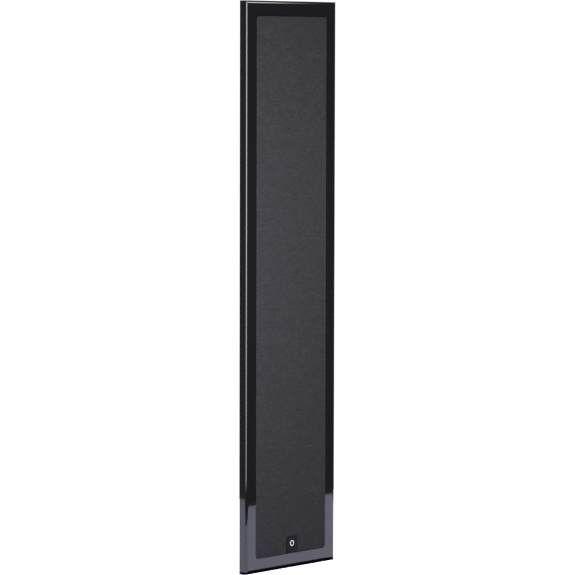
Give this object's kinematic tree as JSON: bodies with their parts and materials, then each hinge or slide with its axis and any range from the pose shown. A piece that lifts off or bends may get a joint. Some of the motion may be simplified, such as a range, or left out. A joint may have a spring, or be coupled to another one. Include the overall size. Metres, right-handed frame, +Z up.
{
  "type": "on-wall panel speaker",
  "caption": "Tall ultra-slim on-wall speaker panel with a gloss black bevelled frame, a charcoal cloth grille, cone drivers, a ribbon tweeter, binding posts and keyhole hangers.",
  "frame": {"origin": "on the wall plane, behind the centre of the panel at mid height", "axes": "+Z up, +Y into the wall, so the front looks along -Y, +X to the listener's right"},
  "size_m": [0.158, 0.041, 0.65],
  "materials": {
    "gloss_black": "piano gloss black",
    "matte_black": "fine matte black",
    "shell_black": "textured black",
    "grille_cloth": "stretched charcoal knit",
    "rubber": "matte",
    "steel": "zinc plated",
    "aluminium": "spun",
    "brass": "gold plated",
    "copper": "enamelled wire",
    "paper_black": "coated paper",
    "spider_cloth": "resin-treated weave",
    "foil": "film with foil tracks",
    "board_resin": "green board",
    "film_yellow": "wrapped film",
    "ceramic": "cement body",
    "red_plastic": "clear red",
    "lead_grey": "grey sleeve"
  },
  "bodies": {
    "cabinet": {"front_bezel": "gloss_black", "baffle": "matte_black", "rear_shell": "shell_black", "shell_gasket": "rubber", "chamber_divider_upper": "shell_black", "chamber_divider_lower": "shell_black", "keyhole_plate_upper": "steel", "keyhole_plate_lower": "steel", "wall_pad_upper_left": "rubber", "wall_pad_upper_right": "rubber", "wall_pad_lower_left": "rubber", "wall_pad_lower_right": "rubber", "terminal_cup": "shell_black", "post_stud_red": "brass", "post_stud_black": "brass", "input_lead_red": "red_plastic", "input_lead_black": "matte_black", "woofer_basket_upper": "matte_black", "woofer_basket_lower": "matte_black", "motor_cup_upper": "steel", "motor_cup_lower": "steel", "magnet_slug_upper": "steel", "magnet_slug_lower": "steel", "spider_upper": "spider_cloth", "spider_lower": "spider_cloth", "woofer_surround_upper": "rubber", "woofer_surround_lower": "rubber", "passive_frame_upper": "matte_black", "passive_frame_lower": "matte_black", "passive_surround_upper": "rubber", "passive_surround_lower": "rubber", "tweeter_faceplate": "matte_black", "tweeter_diaphragm": "foil", "tweeter_housing": "steel", "tweeter_rear_cup": "matte_black", "crossover_board": "board_resin", "woofer_inductor": "copper", "tweeter_inductor": "copper", "capacitor_large": "film_yellow", "capacitor_small": "film_yellow", "resistor": "ceramic", "tweeter_lead": "red_plastic", "woofer_lead": "lead_grey"},
    "grille": {"grille_frame": "matte_black", "grille_cloth": "grille_cloth", "badge_plate": "gloss_black"},
    "woofer_moving_upper": {"woofer_cone_upper": "aluminium", "dust_cap_upper": "paper_black", "voice_coil_upper": "copper"},
    "woofer_moving_lower": {"woofer_cone_lower": "aluminium", "dust_cap_lower": "paper_black", "voice_coil_lower": "copper"},
    "passive_moving_upper": {"passive_plate_upper": "aluminium", "passive_mass_upper": "steel"},
    "passive_moving_lower": {"passive_plate_lower": "aluminium", "passive_mass_lower": "steel"},
    "clamp_red": {"clamp_washer_red": "brass"},
    "knob_red": {"post_knob_red": "red_plastic"},
    "clamp_black": {"clamp_washer_black": "brass"},
    "knob_black": {"post_knob_black": "matte_black"}
  },
  "joints": [
    {"name": "grille_pull", "type": "slide", "parent": "cabinet", "child": "grille", "axis": [0, -1, 0], "range_m": [0, 0.04]},
    {"name": "woofer_travel_upper", "type": "slide", "parent": "cabinet", "child": "woofer_moving_upper", "axis": [0, -1, 0], "range_m": [-0.0025, 0.0025], "stiffness_N_per_m": 1500, "deforming": ["woofer_surround_upper", "spider_upper"]},
    {"name": "woofer_travel_lower", "type": "slide", "parent": "cabinet", "child": "woofer_moving_lower", "axis": [0, -1, 0], "range_m": [-0.0025, 0.0025], "stiffness_N_per_m": 1500, "deforming": ["woofer_surround_lower", "spider_lower"]},
    {"name": "passive_travel_upper", "type": "slide", "parent": "cabinet", "child": "passive_moving_upper", "axis": [0, -1, 0], "range_m": [-0.003, 0.003], "stiffness_N_per_m": 1000, "deforming": ["passive_surround_upper"]},
    {"name": "passive_travel_lower", "type": "slide", "parent": "cabinet", "child": "passive_moving_lower", "axis": [0, -1, 0], "range_m": [-0.003, 0.003], "stiffness_N_per_m": 1000, "deforming": ["passive_surround_lower"]},
    {"name": "clamp_slide_red", "type": "slide", "parent": "cabinet", "child": "clamp_red", "axis": [0, 0, -1], "range_m": [0, 0.005]},
    {"name": "knob_turn_red", "type": "hinge", "parent": "clamp_red", "child": "knob_red", "pos_m": [0.0095, -0.011, -0.18], "axis": [0, 0, -1], "range_deg": [0, 1800]},
    {"name": "clamp_slide_black", "type": "slide", "parent": "cabinet", "child": "clamp_black", "axis": [0, 0, -1], "range_m": [0, 0.005]},
    {"name": "knob_turn_black", "type": "hinge", "parent": "clamp_black", "child": "knob_black", "pos_m": [-0.0095, -0.011, -0.18], "axis": [0, 0, -1], "range_deg": [0, 1800]}
  ],
  "couplings": [
    {"joint": "knob_turn_red", "follows": "clamp_slide_red", "rad_per_m": 6283.2},
    {"joint": "knob_turn_black", "follows": "clamp_slide_black", "rad_per_m": 6283.2}
  ]
}
